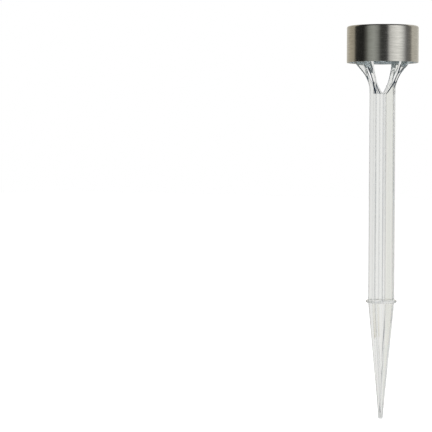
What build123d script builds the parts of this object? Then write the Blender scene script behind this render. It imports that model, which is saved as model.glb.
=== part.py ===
from build123d import *
import math
import os

# Stake light for the garden: a clear cross-shaped stake that is pushed into the soil, and a
# steel-capped head with the solar panel, the battery and the lamp, pushed onto its top.
# Lengths are in millimetres. Levels of the stake count up from the ground line, which is the
# underside of its flange. Levels inside the head count up from the steel cap's lower edge.

# The stake's four arms, which lie along X and Y
ARM_REACH_GROUND = 11.3
ARM_REACH_TOP = 11.05
ARM_ROOT = 4.6
ARM_EDGE = 2.5
SPIKE_LENGTH = 90.5
SPIKE_TIP_REACH = 1.35
SPIKE_TIP_ROUND = 0.9
SPIKE_TIP_ROOT = 2.4
SPIKE_TIP_EDGE = 1.6
FLANGE_RADIUS = 11.9
FLANGE_THICKNESS = 2.0
FLANGE_ROUND = 0.7

# The flared top of the stake, the hollow between its arms, and the collar in the head
HEAD_LEVEL = 185.0
FLARE_RADIUS = 22.0
FLARE_SLOPE = 45.0
FLARE_ROOT = 5.2
FLARE_EDGE = 4.2
HOLLOW_DEPTH = 24.0
HOLLOW_FLOOR_RADIUS = 3.0
HOLLOW_MOUTH_RADIUS = 16.5
HOLLOW_CURVE = 55.0
HOLLOW_THROAT_SPREAD = 1.7
COLLAR_WALL = 2.5
COLLAR_START = 1.7

# Steel cap
CAP_RADIUS = 27.5
CAP_HEIGHT = 28.0
CAP_WALL = 0.5
CAP_EDGE_ROUND = 1.5
CAP_RIM = 0.2

# Fits
CAP_FIT = 0.1
COLLAR_FIT = 0.1
HOUSING_FIT = 0.1
SEAL_FIT = 0.03
HOLE_FIT = 0.12
LED_FIT = 0.1
SWITCH_FIT = 0.15
SLEEVE_FIT = 0.05

# Lower housing
SOCKET_DEPTH = 6.5
BASE_PLATE = 1.8
SKIRT_RISE = 0.6
SKIRT_WALL = 1.2
SPIGOT_WALL = 1.8
SPIGOT_HEIGHT = 2.6
SHROUD_RADIUS = 10.0
SHROUD_WALL = 1.4
SHROUD_DROP = 4.6

# Upper housing
HOUSING_WALL = 1.8
BEZEL_WIDTH = 2.4
DECK = 1.5
SEAL_HEIGHT = 1.0
SEAL_DEPTH = 0.7

# Solar panel
PANEL_DROP = 0.9
PANEL_GAP = 0.7
PANEL_TAPE = 0.4
PANEL_TAPE_WIDTH = 3.5
PANEL_BOARD = 1.0
DOME_EDGE = 0.7
DOME_RISE = 1.2
CELL_COLUMNS = 2
CELL_ROWS = 4
CELL_WIDTH = 4.7
CELL_ROW_GAP = 1.4
CELL_COLUMN_GAP = 3.4
CELL_THICKNESS = 0.25
CELL_MARGIN = 0.5
PANEL_PAD_SPACING = 5.0
PANEL_PAD_OFFSET = -4.0
DECK_HOLE_RADIUS = 4.4

# Screws that join the two housings
SCREW_COUNT = 3
SCREW_FIRST_ANGLE = 90.0
SCREW_HEAD_RADIUS = 2.0
SCREW_HEAD_HEIGHT = 1.5
SCREW_RADIUS = 1.1
SCREW_LENGTH = 9.0
SCREW_SLOT = 0.5
SCREW_SLOT_LENGTH = 2.6
SCREW_SLOT_DEPTH = 0.7
SCREW_BOSS_WALL = 1.5
SCREW_BOSS_GAP = 0.2
SCREW_PAD_WALL = 1.0
SCREW_PAD_HEIGHT = 2.1

# Circuit board and what it carries
BOARD_THICKNESS = 1.2
BOARD_SIDE_GAP = 2.05
BOARD_EDGE_GAP = 0.6
BOARD_BATTERY_GAP = 2.2
BOARD_SWITCH_GAP = 0.2
POST_RADIUS = 2.0
POST_INSET_SIDE = 2.4
POST_INSET_END = 4.0
BOARD_SCREW_RADIUS = 0.8
BOARD_SCREW_HEAD = 1.5
BOARD_SCREW_HEAD_HEIGHT = 1.0
BOARD_SCREW_LENGTH = 4.2
PIN_TAIL = 0.8
CHIP_X = 7.6
CHIP_WIDTH = 4.6
CHIP_DEPTH = 2.0
CHIP_HEIGHT = 3.2
CHIP_STANDOFF = 1.0
CHIP_PIN_COUNT = 4
CHIP_PIN_PITCH = 1.1
CHIP_PIN = 0.4
INDUCTOR_X = -3.0
INDUCTOR_GAP = 1.15
INDUCTOR_RADIUS = 1.5
INDUCTOR_LENGTH = 7.0
INDUCTOR_LEAD_RADIUS = 0.28
INDUCTOR_LEAD_REACH = 1.5
INDUCTOR_LEAD_BEND = 0.7

# Lamp
LED_RADIUS = 2.5
LED_LENGTH = 7.7
LED_FLANGE_RADIUS = 2.9
LED_FLANGE_THICKNESS = 1.0
LED_LEAD = 0.5
LED_LEAD_SPACING = 2.54
LED_FRAME_DEPTH = 4.2
LED_FRAME_WIDTH = 1.5

# Slide switch, reached from below between two arms of the stake: the head stands turned
# by this angle on the stake
HEAD_TURN = 45.0
SWITCH_SHROUD_GAP = 2.8
SWITCH_LENGTH = 8.6
SWITCH_WIDTH = 3.7
SWITCH_HEIGHT = 3.5
SWITCH_WALL = 0.6
SWITCH_TRAVEL = 2.0
SLIDER_LENGTH = 3.8
SLIDER_HEIGHT = 1.2
KNOB_LENGTH = 2.0
KNOB_WIDTH = 1.8
KNOB_DROP = 2.0
KNOB_NOTCH = 0.3
KNOB_NOTCH_COUNT = 2
SWITCH_PIN_COUNT = 3
SWITCH_PIN_PITCH = 2.5
SWITCH_PIN = 0.6

# Battery, its cradle and its contacts
BATTERY_RADIUS = 5.2
BATTERY_LENGTH = 28.8
BATTERY_NUB_RADIUS = 1.8
BATTERY_NUB_HEIGHT = 1.2
BATTERY_SHOULDER = 0.6
SLEEVE_WALL = 0.15
SLEEVE_LIP = 1.0
CRADLE_LIFT = 0.6
CRADLE_WALL_GAP = 1.4
CRADLE_SPACING = 15.0
CRADLE_RIB = 1.4
CRADLE_RISE = 4.2
CRADLE_SIDE = 1.2
END_WALL = 1.6
END_WALL_WIDTH = 10.0
END_WALL_HEIGHT = 11.0
CONTACT_THICKNESS = 0.35
CONTACT_WIDTH = 7.0
CONTACT_HEIGHT = 9.4
CONTACT_FOOT = 0.8
CONTACT_TAB_REACH = 2.6
CONTACT_TAB_HEIGHT = 2.4
CONTACT_TAB_GAP = 0.5
SPRING_ROOM = 3.0
SPRING_RADIUS = 2.9
SPRING_WIRE = 0.25
SPRING_PITCH = 0.85

# Held leads
LEAD_RADIUS = 0.55
LEAD_SHARE = 0.45
LEAD_STRAIGHT = 4.4
BATTERY_LEAD_PAD_X = 6.6
BATTERY_LEAD_PAD_SETBACK = 3.0
PANEL_LEAD_PAD_X = 3.8
PANEL_LEAD_PAD_Y = -4.6

OVERRUN = 1.0

# Radii and levels in the head
HOUSING_RADIUS = CAP_RADIUS - CAP_WALL - CAP_FIT
HOUSING_BORE = HOUSING_RADIUS - HOUSING_WALL
COLLAR_RADIUS = HOUSING_RADIUS - SKIRT_WALL - COLLAR_FIT
CAP_OPENING_RADIUS = CAP_RADIUS - CAP_EDGE_ROUND - CAP_RIM
BEZEL_RADIUS = CAP_OPENING_RADIUS - CAP_FIT
BEZEL_OPENING_RADIUS = BEZEL_RADIUS - BEZEL_WIDTH
SPIGOT_RADIUS = HOUSING_BORE - HOUSING_FIT
SPIGOT_BORE = SPIGOT_RADIUS - SPIGOT_WALL
PLATE_TOP = SOCKET_DEPTH + BASE_PLATE
PANEL_RADIUS = BEZEL_OPENING_RADIUS - PANEL_GAP
DOME_EDGE_LEVEL = CAP_HEIGHT - PANEL_DROP
PANEL_BOARD_TOP = DOME_EDGE_LEVEL - DOME_EDGE
PANEL_BOARD_BOTTOM = PANEL_BOARD_TOP - PANEL_BOARD
DECK_TOP = PANEL_BOARD_BOTTOM - PANEL_TAPE
DECK_BOTTOM = DECK_TOP - DECK
SEAT_LEVEL = PLATE_TOP + SCREW_PAD_HEIGHT
SCREW_BOSS_RADIUS = SCREW_RADIUS + SCREW_BOSS_WALL
SCREW_CIRCLE = SPIGOT_BORE - SCREW_BOSS_GAP - SCREW_BOSS_RADIUS

# The battery lies as far back as the round housing lets it
CRADLE_INSIDE = BATTERY_LENGTH + BATTERY_NUB_HEIGHT + SPRING_ROOM
CRADLE_MINUS_X = -CRADLE_INSIDE / 2
CRADLE_PLUS_X = CRADLE_INSIDE / 2
BATTERY_BAY = BATTERY_RADIUS + SLEEVE_WALL + SLEEVE_FIT
BATTERY_MINUS_X = CRADLE_MINUS_X + SPRING_ROOM
BATTERY_Y = math.sqrt((HOUSING_BORE - CRADLE_WALL_GAP) ** 2 - CRADLE_PLUS_X ** 2) - BATTERY_BAY
BATTERY_LEVEL = PLATE_TOP + CRADLE_LIFT + BATTERY_BAY

# The board fills the rest of the floor, between the battery, the screw bosses and the wall
BOARD_BOTTOM = PLATE_TOP + SWITCH_HEIGHT + BOARD_SWITCH_GAP
BOARD_TOP = BOARD_BOTTOM + BOARD_THICKNESS
BOARD_HALF = SCREW_CIRCLE * math.cos(math.radians(30)) - SCREW_BOSS_RADIUS - BOARD_SIDE_GAP
BOARD_FRONT = -math.sqrt((SPIGOT_BORE - BOARD_EDGE_GAP) ** 2 - BOARD_HALF ** 2)
BOARD_BACK = BATTERY_Y - BATTERY_BAY - BOARD_BATTERY_GAP
PIN_LOW = BOARD_BOTTOM - PIN_TAIL
PIN_HIGH = BOARD_TOP + PIN_TAIL
INDUCTOR_Y = PANEL_LEAD_PAD_Y - LEAD_RADIUS - INDUCTOR_GAP - INDUCTOR_RADIUS
CHIP_Y = INDUCTOR_Y
SWITCH_Y = -(SHROUD_RADIUS + SWITCH_SHROUD_GAP + KNOB_WIDTH / 2)
CONTACT_TAB_LEVEL = BOARD_TOP + LEAD_STRAIGHT
CONTACT_TAB_Y = BATTERY_Y - BATTERY_BAY - CONTACT_TAB_GAP - CONTACT_TAB_REACH / 2

# Levels in the stake
COLLAR_TOP = HEAD_LEVEL + SOCKET_DEPTH
COLLAR_BOTTOM = HEAD_LEVEL + COLLAR_START
FLARE_TURN = math.radians(FLARE_SLOPE)
FLARE_ARC_REACH = ARM_REACH_TOP + FLARE_RADIUS * (1 - math.cos(FLARE_TURN))
FLARE_ARC_TOP = COLLAR_BOTTOM - (COLLAR_RADIUS - FLARE_ARC_REACH) / math.tan(FLARE_TURN)
FLARE_BOTTOM = FLARE_ARC_TOP - FLARE_RADIUS * math.sin(FLARE_TURN)


def column(radius, low, high, x=0.0, y=0.0):
    """Round bar standing between two levels."""
    return Pos(x, y, low) * Cylinder(radius, high - low, align=(Align.CENTER, Align.CENTER, Align.MIN))


def ring(outer, inner, low, high):
    """Upright tube between two levels."""
    return column(outer, low, high) - column(inner, low - OVERRUN, high + OVERRUN)


def block(length, width, low, high, x=0.0, y=0.0):
    """Box standing between two levels, centred on x and y."""
    low_centre = (Align.CENTER, Align.CENTER, Align.MIN)
    return Pos(x, y, low) * Box(length, width, high - low, align=low_centre)


def turned(outline):
    """Solid of revolution about Z from a closed outline of radius and level."""
    return revolve(Plane.XZ * make_face(outline), Axis.Z)


def circle_points(count, radius, first_angle):
    """Evenly spaced points on a circle."""
    angles = [math.radians(first_angle + 360 / count * k) for k in range(count)]
    return [(radius * math.cos(angle), radius * math.sin(angle)) for angle in angles]


# Stake

def cross_section(level, reach, root, edge):
    """Cross of four arms that thin from root to edge, on a level plane."""
    corners = []
    for turn in range(4):
        angle = turn * 90
        for x, y in ((reach, -edge / 2), (reach, edge / 2), (root / 2, root / 2)):
            corners.append(Vector(x, y, 0).rotate(Axis.Z, angle))
    return Plane.XY.offset(level) * make_face(Polyline(*corners, close=True))


def arms():
    """The four arms before they are trimmed to the stake's outline."""
    spike_low = cross_section(-SPIKE_LENGTH - OVERRUN, SPIKE_TIP_REACH + OVERRUN,
                              SPIKE_TIP_ROOT, SPIKE_TIP_EDGE)
    ground = cross_section(0, ARM_REACH_GROUND + OVERRUN, ARM_ROOT, ARM_EDGE)
    flare_low = cross_section(FLARE_BOTTOM, ARM_REACH_TOP + OVERRUN, ARM_ROOT, ARM_EDGE)
    flare_high = cross_section(COLLAR_BOTTOM, COLLAR_RADIUS + OVERRUN, FLARE_ROOT, FLARE_EDGE)
    stages = [loft([low, high], ruled=True)
              for low, high in ((spike_low, ground), (ground, flare_low), (flare_low, flare_high))]
    stages.append(extrude(flare_high, COLLAR_TOP - COLLAR_BOTTOM))
    return stages[0] + stages[1] + stages[2] + stages[3]


def stake_envelope():
    """Outline of the arms' outer edges, turned about the axis."""
    tip_start = (SPIKE_TIP_REACH - SPIKE_TIP_ROUND, -SPIKE_LENGTH)
    tip_end = (SPIKE_TIP_REACH, -SPIKE_LENGTH + SPIKE_TIP_ROUND)
    flare_start = (ARM_REACH_TOP, FLARE_BOTTOM)
    flare_middle = (ARM_REACH_TOP + FLARE_RADIUS * (1 - math.cos(FLARE_TURN / 2)),
                    FLARE_BOTTOM + FLARE_RADIUS * math.sin(FLARE_TURN / 2))
    flare_end = (FLARE_ARC_REACH, FLARE_ARC_TOP)
    outline = Polyline((0, COLLAR_TOP), (0, -SPIKE_LENGTH), tip_start)
    outline += RadiusArc(tip_start, tip_end, -SPIKE_TIP_ROUND)
    outline += Polyline(tip_end, (ARM_REACH_GROUND, 0), flare_start)
    outline += ThreePointArc(flare_start, flare_middle, flare_end)
    outline += Polyline(flare_end, (COLLAR_RADIUS, COLLAR_BOTTOM),
                        (COLLAR_RADIUS, COLLAR_TOP), (0, COLLAR_TOP))
    return turned(outline)


def stake_hollow():
    """The pointed hollow between the arms, open at the top."""
    floor = HEAD_LEVEL - HOLLOW_DEPTH
    throat = HOLLOW_MOUTH_RADIUS + HOLLOW_THROAT_SPREAD
    outline = Polyline((0, COLLAR_TOP + OVERRUN), (0, floor), (HOLLOW_FLOOR_RADIUS, floor))
    outline += RadiusArc((HOLLOW_FLOOR_RADIUS, floor), (HOLLOW_MOUTH_RADIUS, HEAD_LEVEL), -HOLLOW_CURVE)
    outline += Polyline((HOLLOW_MOUTH_RADIUS, HEAD_LEVEL), (throat, COLLAR_TOP),
                        (throat, COLLAR_TOP + OVERRUN), (0, COLLAR_TOP + OVERRUN))
    return turned(outline)


def stake():
    """Spike, flange, shaft, flared arms and collar, as one moulding."""
    flange = column(FLANGE_RADIUS, 0, FLANGE_THICKNESS)
    flange = fillet(flange.edges().filter_by(GeomType.CIRCLE), FLANGE_ROUND)
    collar = ring(COLLAR_RADIUS, COLLAR_RADIUS - COLLAR_WALL, COLLAR_BOTTOM, COLLAR_TOP)
    return (arms() & stake_envelope()) - stake_hollow() + flange + collar


# Head shells

def steel_cap():
    """Drawn steel cup with a rounded top edge and a round opening for the panel."""
    bend = CAP_EDGE_ROUND
    inner_bend = bend - CAP_WALL
    inner = CAP_RADIUS - CAP_WALL
    under = CAP_HEIGHT - CAP_WALL
    outline = Polyline((inner, 0), (CAP_RADIUS, 0), (CAP_RADIUS, CAP_HEIGHT - bend))
    outline += RadiusArc((CAP_RADIUS, CAP_HEIGHT - bend), (CAP_RADIUS - bend, CAP_HEIGHT), -bend)
    outline += Polyline((CAP_RADIUS - bend, CAP_HEIGHT), (CAP_OPENING_RADIUS, CAP_HEIGHT),
                        (CAP_OPENING_RADIUS, under), (CAP_RADIUS - bend, under))
    outline += RadiusArc((CAP_RADIUS - bend, under), (inner, CAP_HEIGHT - bend), inner_bend)
    outline += Line((inner, CAP_HEIGHT - bend), (inner, 0))
    return turned(outline)


def upper_housing():
    """Black shell under the steel: bezel, panel seat, outer wall and screw bosses."""
    shoulder = CAP_HEIGHT - CAP_WALL - CAP_FIT
    cut = CAP_EDGE_ROUND - CAP_WALL
    shell = turned(Polyline(
        (HOUSING_BORE, PLATE_TOP), (HOUSING_RADIUS, PLATE_TOP), (HOUSING_RADIUS, shoulder - cut),
        (HOUSING_RADIUS - cut, shoulder), (BEZEL_RADIUS, shoulder), (BEZEL_RADIUS, CAP_HEIGHT),
        (BEZEL_OPENING_RADIUS, CAP_HEIGHT), (BEZEL_OPENING_RADIUS, DECK_TOP), (0, DECK_TOP),
        (0, DECK_BOTTOM), (HOUSING_BORE, DECK_BOTTOM), close=True))
    for x, y in circle_points(SCREW_COUNT, SCREW_CIRCLE, SCREW_FIRST_ANGLE):
        shell += column(SCREW_BOSS_RADIUS, SEAT_LEVEL, DECK_BOTTOM + DECK / 2, x, y)
    for x, y in circle_points(SCREW_COUNT, SCREW_CIRCLE, SCREW_FIRST_ANGLE):
        shell -= column(SCREW_RADIUS + SLEEVE_FIT, SEAT_LEVEL - OVERRUN,
                        SEAT_LEVEL + SCREW_LENGTH - SCREW_PAD_HEIGHT + HOLE_FIT, x, y)
    return shell - column(DECK_HOLE_RADIUS, DECK_BOTTOM - OVERRUN, DECK_TOP + OVERRUN,
                          0, PANEL_PAD_OFFSET)


def base_shell():
    """Plate, skirt around the stake's collar, lamp shroud and spigot of the lower housing."""
    shell = column(HOUSING_RADIUS, SOCKET_DEPTH, PLATE_TOP)
    shell += ring(HOUSING_RADIUS, COLLAR_RADIUS + COLLAR_FIT, SKIRT_RISE, PLATE_TOP)
    shell += ring(SHROUD_RADIUS, SHROUD_RADIUS - SHROUD_WALL, SOCKET_DEPTH - SHROUD_DROP, PLATE_TOP)
    shell += ring(SPIGOT_RADIUS, SPIGOT_BORE, SOCKET_DEPTH, PLATE_TOP + SPIGOT_HEIGHT)
    return shell


def seal_band(outer):
    """Ring-shaped band in the middle of the spigot, out to a given radius."""
    low = PLATE_TOP + (SPIGOT_HEIGHT - SEAL_HEIGHT) / 2
    return ring(outer, SPIGOT_RADIUS - SEAL_DEPTH, low, low + SEAL_HEIGHT)


def cradle():
    """Two ribs and two end walls that hold the battery and its contacts."""
    width = 2 * (BATTERY_BAY + CRADLE_SIDE)
    ribs = [block(CRADLE_RIB, width, SOCKET_DEPTH, PLATE_TOP + CRADLE_RISE, x, BATTERY_Y)
            for x in (-CRADLE_SPACING / 2, CRADLE_SPACING / 2)]
    walls = [block(END_WALL, END_WALL_WIDTH, SOCKET_DEPTH, PLATE_TOP + END_WALL_HEIGHT, x, BATTERY_Y)
             for x in (CRADLE_MINUS_X - END_WALL / 2, CRADLE_PLUS_X + END_WALL / 2)]
    trough = Pos(0, BATTERY_Y, BATTERY_LEVEL) * Rot(0, 90, 0) * Cylinder(BATTERY_BAY, CRADLE_INSIDE)
    room = column(SPIGOT_RADIUS - SEAL_DEPTH, SOCKET_DEPTH, DECK_BOTTOM - OVERRUN)
    held = (ribs[0] + ribs[1] + walls[0] + walls[1]) & room
    return held - trough


def contact_plate(side, grow=0.0):
    """Battery contact let into the end wall on one side, with its solder tab beside the battery."""
    x = side * (CRADLE_PLUS_X + CONTACT_THICKNESS / 2)
    foot = PLATE_TOP + CONTACT_FOOT
    body = block(CONTACT_THICKNESS, CONTACT_WIDTH + 2 * grow, foot - grow,
                 foot + CONTACT_HEIGHT + grow, x, BATTERY_Y)
    outer = CONTACT_TAB_Y - CONTACT_TAB_REACH / 2
    inner = BATTERY_Y - CONTACT_WIDTH / 4
    return body + block(CONTACT_THICKNESS, inner - outer + 2 * grow,
                        CONTACT_TAB_LEVEL - CONTACT_TAB_HEIGHT / 2 - grow,
                        CONTACT_TAB_LEVEL + CONTACT_TAB_HEIGHT / 2 + grow, x, (inner + outer) / 2)


def posts():
    """Corners of the board that stand on the lower housing."""
    side = BOARD_HALF - POST_INSET_SIDE
    back = BOARD_BACK - POST_INSET_END
    front = BOARD_FRONT + POST_INSET_END
    return [(-side, back), (side, back), (-side, front)]


def base_housing():
    """Lower housing with its posts, screw pads, battery cradle and openings."""
    shell = base_shell() - seal_band(SPIGOT_RADIUS + HOUSING_FIT / 2)
    pad = SCREW_HEAD_RADIUS + SCREW_PAD_WALL
    for x, y in circle_points(SCREW_COUNT, SCREW_CIRCLE, SCREW_FIRST_ANGLE):
        shell += column(pad, SOCKET_DEPTH, SEAT_LEVEL, x, y) & column(SPIGOT_BORE + SEAL_DEPTH / 2,
                                                                      SOCKET_DEPTH, SEAT_LEVEL)
    shell += cradle()
    for x, y in posts():
        shell += column(POST_RADIUS, SOCKET_DEPTH, BOARD_BOTTOM, x, y)
    for x, y in posts():
        shell -= column(BOARD_SCREW_RADIUS + SLEEVE_FIT,
                        BOARD_TOP - BOARD_SCREW_LENGTH - HOLE_FIT, BOARD_TOP, x, y)
    for x, y in circle_points(SCREW_COUNT, SCREW_CIRCLE, SCREW_FIRST_ANGLE):
        shell -= column(SCREW_HEAD_RADIUS + HOLE_FIT, SOCKET_DEPTH - OVERRUN, PLATE_TOP, x, y)
        shell -= column(SCREW_RADIUS + HOLE_FIT, PLATE_TOP, SEAT_LEVEL + OVERRUN, x, y)
    shell -= contact_plate(1, HOLE_FIT) + contact_plate(-1, HOLE_FIT)
    shell -= column(LED_RADIUS + LED_FIT, SOCKET_DEPTH - OVERRUN, PLATE_TOP + OVERRUN)
    slot = block(KNOB_LENGTH + SWITCH_TRAVEL + 2 * SWITCH_FIT, KNOB_WIDTH + 2 * SWITCH_FIT,
                 SOCKET_DEPTH - OVERRUN, PLATE_TOP + OVERRUN)
    return shell - Pos(0, SWITCH_Y, 0) * slot


def housing_seal():
    """Rubber ring between the spigot and the upper housing's wall."""
    return seal_band(HOUSING_BORE - SEAL_FIT)


def cover_screws():
    """Pan-head screws that come up through the lower housing into the upper one's bosses."""
    screws = []
    for x, y in circle_points(SCREW_COUNT, SCREW_CIRCLE, SCREW_FIRST_ANGLE):
        screw = column(SCREW_HEAD_RADIUS, PLATE_TOP - SCREW_HEAD_HEIGHT, PLATE_TOP, x, y)
        screw += column(SCREW_RADIUS, PLATE_TOP - SCREW_HEAD_HEIGHT / 2, PLATE_TOP + SCREW_LENGTH, x, y)
        low = PLATE_TOP - SCREW_HEAD_HEIGHT
        for length, width in ((SCREW_SLOT_LENGTH, SCREW_SLOT), (SCREW_SLOT, SCREW_SLOT_LENGTH)):
            screw -= block(length, width, low - OVERRUN, low + SCREW_SLOT_DEPTH, x, y)
        screws.append(screw)
    return Compound(screws)


# Solar panel

def panel_tape():
    """Foam tape ring that holds the panel on the deck."""
    return ring(PANEL_RADIUS, PANEL_RADIUS - PANEL_TAPE_WIDTH, DECK_TOP, PANEL_BOARD_BOTTOM)


def solar_board():
    """Round board under the cells."""
    return column(PANEL_RADIUS, PANEL_BOARD_BOTTOM, PANEL_BOARD_TOP)


def cell_strips():
    """Strips of silicon in columns and rows, as long as the round board allows."""
    pitch = CELL_WIDTH + CELL_ROW_GAP
    rows_half = ((CELL_ROWS - 1) * pitch + CELL_WIDTH) / 2
    usable = math.sqrt((PANEL_RADIUS - CELL_MARGIN) ** 2 - rows_half ** 2)
    length = (2 * usable - (CELL_COLUMNS - 1) * CELL_COLUMN_GAP) / CELL_COLUMNS
    strips = []
    for column_index in range(CELL_COLUMNS):
        x = (column_index - (CELL_COLUMNS - 1) / 2) * (length + CELL_COLUMN_GAP)
        for row_index in range(CELL_ROWS):
            y = (row_index - (CELL_ROWS - 1) / 2) * pitch
            strips.append(block(length, CELL_WIDTH, PANEL_BOARD_TOP,
                                PANEL_BOARD_TOP + CELL_THICKNESS, x, y))
    return strips


def panel_dome():
    """Clear resin poured over the board and the cells, with a low crown."""
    crown = (PANEL_RADIUS ** 2 + DOME_RISE ** 2) / (2 * DOME_RISE)
    outline = Polyline((0, DOME_EDGE_LEVEL + DOME_RISE), (0, PANEL_BOARD_TOP),
                       (PANEL_RADIUS, PANEL_BOARD_TOP), (PANEL_RADIUS, DOME_EDGE_LEVEL))
    outline += RadiusArc((PANEL_RADIUS, DOME_EDGE_LEVEL), (0, DOME_EDGE_LEVEL + DOME_RISE), -crown)
    dome = turned(outline)
    for strip in cell_strips():
        dome -= strip
    return dome


# Electronics

def inductor_lead_x(side):
    """Where the inductor's lead on one side goes down through the board."""
    return INDUCTOR_X + side * (INDUCTOR_LENGTH / 2 + INDUCTOR_LEAD_REACH)


def chip_pin_places():
    """Centres of the driver chip's pins."""
    middle = (CHIP_PIN_COUNT - 1) / 2
    return [(CHIP_X + (k - middle) * CHIP_PIN_PITCH, CHIP_Y) for k in range(CHIP_PIN_COUNT)]


def switch_pin_places():
    """X of the switch's pins, which stand in a row at its middle."""
    middle = (SWITCH_PIN_COUNT - 1) / 2
    return [(k - middle) * SWITCH_PIN_PITCH for k in range(SWITCH_PIN_COUNT)]


def circuit_board():
    """Board with holes for every pin and lead that passes through it."""
    low = BOARD_BOTTOM - OVERRUN
    high = BOARD_TOP + OVERRUN
    board = block(2 * BOARD_HALF, BOARD_BACK - BOARD_FRONT, BOARD_BOTTOM, BOARD_TOP,
                  0, (BOARD_BACK + BOARD_FRONT) / 2)
    for x, y in posts():
        board -= column(BOARD_SCREW_RADIUS + HOLE_FIT, low, high, x, y)
    for x, y in chip_pin_places():
        board -= column(CHIP_PIN / 2 * math.sqrt(2) + HOLE_FIT, low, high, x, y)
    for side in (-1, 1):
        board -= column(INDUCTOR_LEAD_RADIUS + HOLE_FIT, low, high, inductor_lead_x(side), INDUCTOR_Y)
        board -= column(LED_LEAD / 2 * math.sqrt(2) + HOLE_FIT, low, high, side * LED_LEAD_SPACING / 2, 0)
    for x in switch_pin_places():
        board -= column(SWITCH_PIN / 2 * math.sqrt(2) + HOLE_FIT, low, high, x, SWITCH_Y)
    return board


def board_screws():
    """Small screws that hold the circuit board on its posts."""
    screws = []
    for x, y in posts():
        screw = column(BOARD_SCREW_HEAD, BOARD_TOP, BOARD_TOP + BOARD_SCREW_HEAD_HEIGHT, x, y)
        screw += column(BOARD_SCREW_RADIUS, BOARD_TOP - BOARD_SCREW_LENGTH, BOARD_TOP, x, y)
        top = BOARD_TOP + BOARD_SCREW_HEAD_HEIGHT
        screw -= block(2 * BOARD_SCREW_HEAD, SCREW_SLOT, top - SCREW_SLOT, top + OVERRUN, x, y)
        screws.append(screw)
    return Compound(screws)


def driver_chip():
    """Moulded body of the driver chip, standing on its pins."""
    low = BOARD_TOP + CHIP_STANDOFF
    body = block(CHIP_WIDTH, CHIP_DEPTH, low, low + CHIP_HEIGHT, CHIP_X, CHIP_Y)
    front = body.edges().filter_by(Axis.Z).sort_by(Axis.Y)[:2]
    return chamfer(front, CHIP_DEPTH / 4)


def chip_pins():
    """Row of pins from the driver chip down through the board."""
    return Compound([block(CHIP_PIN, CHIP_PIN, PIN_LOW, BOARD_TOP + CHIP_STANDOFF, x, y)
                     for x, y in chip_pin_places()])


def inductor():
    """Coated inductor lying along X on the board."""
    body = Rot(0, 90, 0) * Cylinder(INDUCTOR_RADIUS, INDUCTOR_LENGTH)
    body = fillet(body.edges().filter_by(GeomType.CIRCLE), INDUCTOR_RADIUS * 0.6)
    return Pos(INDUCTOR_X, INDUCTOR_Y, BOARD_TOP + INDUCTOR_RADIUS) * body


def bent_wire(points, radii, radius):
    """Round wire along straight runs joined by arcs."""
    path = FilletPolyline(*points, radius=radii)
    return sweep(Plane(origin=path @ 0, z_dir=path % 0) * Circle(radius), path)


def inductor_leads():
    """Two leads that bend down from the inductor through the board."""
    level = BOARD_TOP + INDUCTOR_RADIUS
    leads = []
    for side in (-1, 1):
        start = INDUCTOR_X + side * INDUCTOR_LENGTH / 2
        down = inductor_lead_x(side)
        points = [(start, INDUCTOR_Y, level), (down, INDUCTOR_Y, level), (down, INDUCTOR_Y, PIN_LOW)]
        leads.append(bent_wire(points, [INDUCTOR_LEAD_BEND], INDUCTOR_LEAD_RADIUS))
    return Compound(leads)


def led_leads():
    """The two leads of the lamp: pins above, and the cup and post inside the clear body."""
    low = PLATE_TOP - LED_FRAME_DEPTH
    frames = []
    for side in (-1, 1):
        x = side * LED_LEAD_SPACING / 2
        pin = block(LED_LEAD, LED_LEAD, low, PIN_HIGH, x, 0)
        width = LED_FRAME_WIDTH if side < 0 else LED_LEAD * 1.5
        frames.append(pin + block(width, LED_LEAD, low, low + LED_FRAME_WIDTH, x + side * 0.1, 0))
    return frames


def led_lamp():
    """Clear lamp body pointing down, seated by its flange on the plate."""
    tip = PLATE_TOP - LED_LENGTH
    top = PLATE_TOP + LED_FLANGE_THICKNESS
    outline = Polyline((0, top), (LED_FLANGE_RADIUS, top), (LED_FLANGE_RADIUS, PLATE_TOP),
                       (LED_RADIUS, PLATE_TOP), (LED_RADIUS, tip + LED_RADIUS))
    outline += RadiusArc((LED_RADIUS, tip + LED_RADIUS), (0, tip), LED_RADIUS)
    outline += Line((0, tip), (0, top))
    body = turned(outline)
    for lead in led_leads():
        body -= lead
    return body


# Slide switch

def switch_body():
    """Box of the slide switch, hollow where its slider runs."""
    body = block(SWITCH_LENGTH, SWITCH_WIDTH, PLATE_TOP, PLATE_TOP + SWITCH_HEIGHT)
    floor = PLATE_TOP + SWITCH_WALL
    body -= block(SLIDER_LENGTH + SWITCH_TRAVEL + 2 * SWITCH_FIT, SWITCH_WIDTH - 2 * SWITCH_WALL,
                  floor, floor + SLIDER_HEIGHT + 2 * SWITCH_FIT)
    body -= block(KNOB_LENGTH + SWITCH_TRAVEL + 2 * SWITCH_FIT, KNOB_WIDTH + 2 * SWITCH_FIT,
                  PLATE_TOP - OVERRUN, floor + OVERRUN)
    return Pos(0, SWITCH_Y, 0) * body


def switch_knob():
    """Slider with the knob that reaches down through the plate, at the off end of its travel."""
    floor = PLATE_TOP + SWITCH_WALL + SWITCH_FIT
    low = SOCKET_DEPTH - KNOB_DROP
    slider_width = SWITCH_WIDTH - 2 * SWITCH_WALL - 2 * SWITCH_FIT
    knob = block(SLIDER_LENGTH, slider_width, floor, floor + SLIDER_HEIGHT)
    knob += block(KNOB_LENGTH, KNOB_WIDTH, low, floor + SLIDER_HEIGHT / 2)
    spacing = KNOB_LENGTH / (KNOB_NOTCH_COUNT + 1)
    for k in range(KNOB_NOTCH_COUNT):
        x = (k + 1) * spacing - KNOB_LENGTH / 2
        knob -= block(KNOB_NOTCH, KNOB_WIDTH + OVERRUN, low - OVERRUN, low + KNOB_NOTCH, x)
    return Pos(-SWITCH_TRAVEL / 2, SWITCH_Y, 0) * knob


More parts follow.
